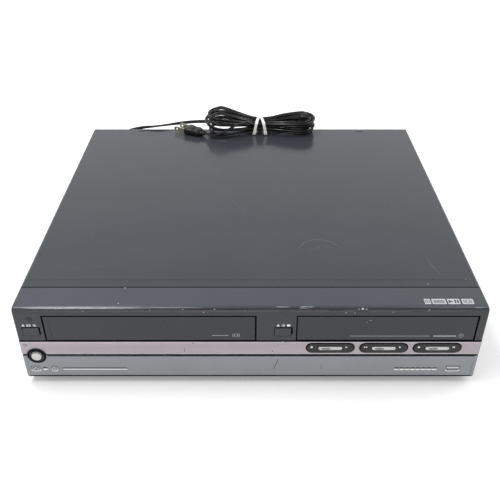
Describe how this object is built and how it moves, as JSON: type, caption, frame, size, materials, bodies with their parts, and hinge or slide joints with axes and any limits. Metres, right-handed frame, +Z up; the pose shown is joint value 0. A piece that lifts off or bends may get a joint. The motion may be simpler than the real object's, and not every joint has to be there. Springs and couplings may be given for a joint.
{
  "type": "disc and cassette combo player",
  "caption": "Wide low home player with a spring-flap cassette bay, a sliding disc tray, silver key strip, full-width front flap and a tied mains cord on top.",
  "frame": {"origin": "centre of the footprint of the body with its sockets and keys, at the underside of the feet; the mains cord is left out of it", "axes": "+X to the right as seen from the front, the front faces -Y, +Z up"},
  "size_m": [0.43, 0.4441, 0.1196],
  "materials": {
    "cover_paint": "fine textured grey-black paint",
    "fascia_plastic": "dark grey moulding, satin",
    "strip_silver": "silver paint, satin",
    "flap_grey": "grey metallic paint, satin",
    "door_black": "tinted dark, smooth",
    "key_black": "black, smooth",
    "button_silver": "silver paint, smooth",
    "zinc_steel": "zinc-coated sheet",
    "aluminium": "turned",
    "moulding_black": "black moulding",
    "moulding_grey": "grey moulding",
    "board_green": "lacquered board",
    "copper_winding": "laminated core with a taped winding",
    "foot_rubber": "black, dull",
    "cord_black": "black vinyl, semi-gloss",
    "tie_white": "white, dull",
    "blade_nickel": "nickel plate"
  },
  "bodies": {
    "housing": {"chassis_base": "zinc_steel", "rear_panel": "zinc_steel", "deck_chassis": "zinc_steel", "clamp_bridge": "zinc_steel", "tuner_box": "zinc_steel", "top_cover": "cover_paint", "front_fascia": "fascia_plastic", "trim_strip": "strip_silver", "power_ring": "key_black", "key_bracket": "moulding_black", "front_jack_block": "moulding_black", "traverse": "moulding_black", "rear_jack_block": "moulding_black", "rear_port_block": "moulding_black", "fan_frame": "moulding_black", "drive_chassis": "moulding_grey", "drum_lower": "aluminium", "heatsink": "aluminium", "front_board": "board_green", "main_board": "board_green", "power_board": "board_green", "transformer": "copper_winding", "foot_front_left": "foot_rubber", "foot_front_right": "foot_rubber", "foot_back_left": "foot_rubber", "foot_back_right": "foot_rubber", "cord_gland": "cord_black", "cord_lead": "cord_black", "cord_hank": "cord_black", "cord_tail": "cord_black", "plug_body": "cord_black", "cord_tie": "tie_white", "plug_blade_left": "blade_nickel", "plug_blade_right": "blade_nickel"},
    "flap": {"front_flap": "flap_grey"},
    "door": {"cassette_door": "door_black"},
    "power": {"power_button": "button_silver"},
    "cassette_eject": {"cassette_eject_key": "fascia_plastic"},
    "disc_eject": {"disc_eject_key": "fascia_plastic"},
    "rocker_left": {"rocker_key_left": "key_black"},
    "rocker_middle": {"rocker_key_middle": "key_black"},
    "rocker_right": {"rocker_key_right": "key_black"},
    "select_left": {"select_key_left": "button_silver"},
    "select_middle": {"select_key_middle": "button_silver"},
    "select_right": {"select_key_right": "button_silver"},
    "channel_down": {"channel_key_down": "key_black"},
    "channel_up": {"channel_key_up": "key_black"},
    "carriage": {"carriage_slider": "zinc_steel"},
    "basket": {"cassette_holder": "zinc_steel"},
    "tray": {"disc_tray": "moulding_black", "tray_lid": "door_black"},
    "pickup": {"optical_pickup": "aluminium"},
    "spindle": {"disc_spindle": "moulding_black"},
    "clamp": {"disc_clamp": "moulding_black"},
    "drum": {"drum_upper": "aluminium"},
    "supply": {"reel_supply": "moulding_grey"},
    "takeup": {"reel_takeup": "moulding_grey"},
    "capstan": {"capstan": "aluminium"},
    "fan": {"fan_rotor": "moulding_black"}
  },
  "joints": [
    {"name": "flap_hinge", "type": "hinge", "parent": "housing", "child": "flap", "pos_m": [0, -0.19125, 0.012], "axis": [1, 0, 0], "range_deg": [0, 90]},
    {"name": "door_hinge", "type": "hinge", "parent": "housing", "child": "door", "pos_m": [-0.0917, -0.19405, 0.0823], "axis": [1, 0, 0], "range_deg": [0, 88], "stiffness_Nm_per_rad": 0.002, "springref_deg": -11.46},
    {"name": "power_press", "type": "slide", "parent": "housing", "child": "power", "axis": [0, 1, 0], "range_m": [0, 0.001], "stiffness_N_per_m": 800, "springref_m": -0.0005},
    {"name": "cassette_eject_press", "type": "slide", "parent": "housing", "child": "cassette_eject", "axis": [0, 1, 0], "range_m": [0, 0.0008], "stiffness_N_per_m": 500, "springref_m": -0.0005},
    {"name": "disc_eject_press", "type": "slide", "parent": "housing", "child": "disc_eject", "axis": [0, 1, 0], "range_m": [0, 0.0008], "stiffness_N_per_m": 500, "springref_m": -0.0005},
    {"name": "rocker_tilt_left", "type": "hinge", "parent": "housing", "child": "rocker_left", "pos_m": [0.07435, -0.19125, 0.0465], "axis": [0, 0, 1], "range_deg": [-2.5, 2.5], "stiffness_Nm_per_rad": 0.6},
    {"name": "select_press_left", "type": "slide", "parent": "housing", "child": "select_left", "axis": [0, 1, 0], "range_m": [0, 0.0008], "stiffness_N_per_m": 500, "springref_m": -0.0005},
    {"name": "rocker_tilt_middle", "type": "hinge", "parent": "housing", "child": "rocker_middle", "pos_m": [0.12415, -0.19125, 0.0465], "axis": [0, 0, 1], "range_deg": [-2.5, 2.5], "stiffness_Nm_per_rad": 0.6},
    {"name": "select_press_middle", "type": "slide", "parent": "housing", "child": "select_middle", "axis": [0, 1, 0], "range_m": [0, 0.0008], "stiffness_N_per_m": 500, "springref_m": -0.0005},
    {"name": "rocker_tilt_right", "type": "hinge", "parent": "housing", "child": "rocker_right", "pos_m": [0.17395, -0.19125, 0.0465], "axis": [0, 0, 1], "range_deg": [-2.5, 2.5], "stiffness_Nm_per_rad": 0.6},
    {"name": "select_press_right", "type": "slide", "parent": "housing", "child": "select_right", "axis": [0, 1, 0], "range_m": [0, 0.0008], "stiffness_N_per_m": 500, "springref_m": -0.0005},
    {"name": "channel_down_press", "type": "slide", "parent": "housing", "child": "channel_down", "axis": [0, 1, 0], "range_m": [0, 0.0008], "stiffness_N_per_m": 500, "springref_m": -0.0005},
    {"name": "channel_up_press", "type": "slide", "parent": "housing", "child": "channel_up", "axis": [0, 1, 0], "range_m": [0, 0.0008], "stiffness_N_per_m": 500, "springref_m": -0.0005},
    {"name": "carriage_slide", "type": "slide", "parent": "housing", "child": "carriage", "axis": [0, 1, 0], "range_m": [0, 0.07]},
    {"name": "basket_drop", "type": "slide", "parent": "carriage", "child": "basket", "axis": [0, 0, -1], "range_m": [0, 0.02]},
    {"name": "tray_slide", "type": "slide", "parent": "housing", "child": "tray", "axis": [0, -1, 0], "range_m": [0, 0.138]},
    {"name": "pickup_slide", "type": "slide", "parent": "housing", "child": "pickup", "axis": [0, 1, 0], "range_m": [0, 0.034]},
    {"name": "spindle_spin", "type": "hinge", "parent": "housing", "child": "spindle", "pos_m": [0.12415, -0.12395, 0.0628], "axis": [0, 0, 1], "continuous": true},
    {"name": "clamp_spin", "type": "hinge", "parent": "housing", "child": "clamp", "pos_m": [0.12415, -0.12395, 0.0746], "axis": [0, 0, 1], "continuous": true},
    {"name": "drum_spin", "type": "hinge", "parent": "housing", "child": "drum", "pos_m": [-0.0917, 0.05092, 0.05024], "axis": [0, -0.0872, 0.9962], "continuous": true},
    {"name": "supply_spin", "type": "hinge", "parent": "housing", "child": "supply", "pos_m": [-0.13795, -0.03975, 0.0282], "axis": [0, 0, 1], "continuous": true},
    {"name": "takeup_spin", "type": "hinge", "parent": "housing", "child": "takeup", "pos_m": [-0.04545, -0.03975, 0.0282], "axis": [0, 0, 1], "continuous": true},
    {"name": "capstan_spin", "type": "hinge", "parent": "housing", "child": "capstan", "pos_m": [-0.0297, 0.04025, 0.027], "axis": [0, 0, 1], "continuous": true},
    {"name": "fan_spin", "type": "hinge", "parent": "housing", "child": "fan", "pos_m": [0.1727, 0.17975, 0.052], "axis": [0, 1, 0], "continuous": true}
  ]
}
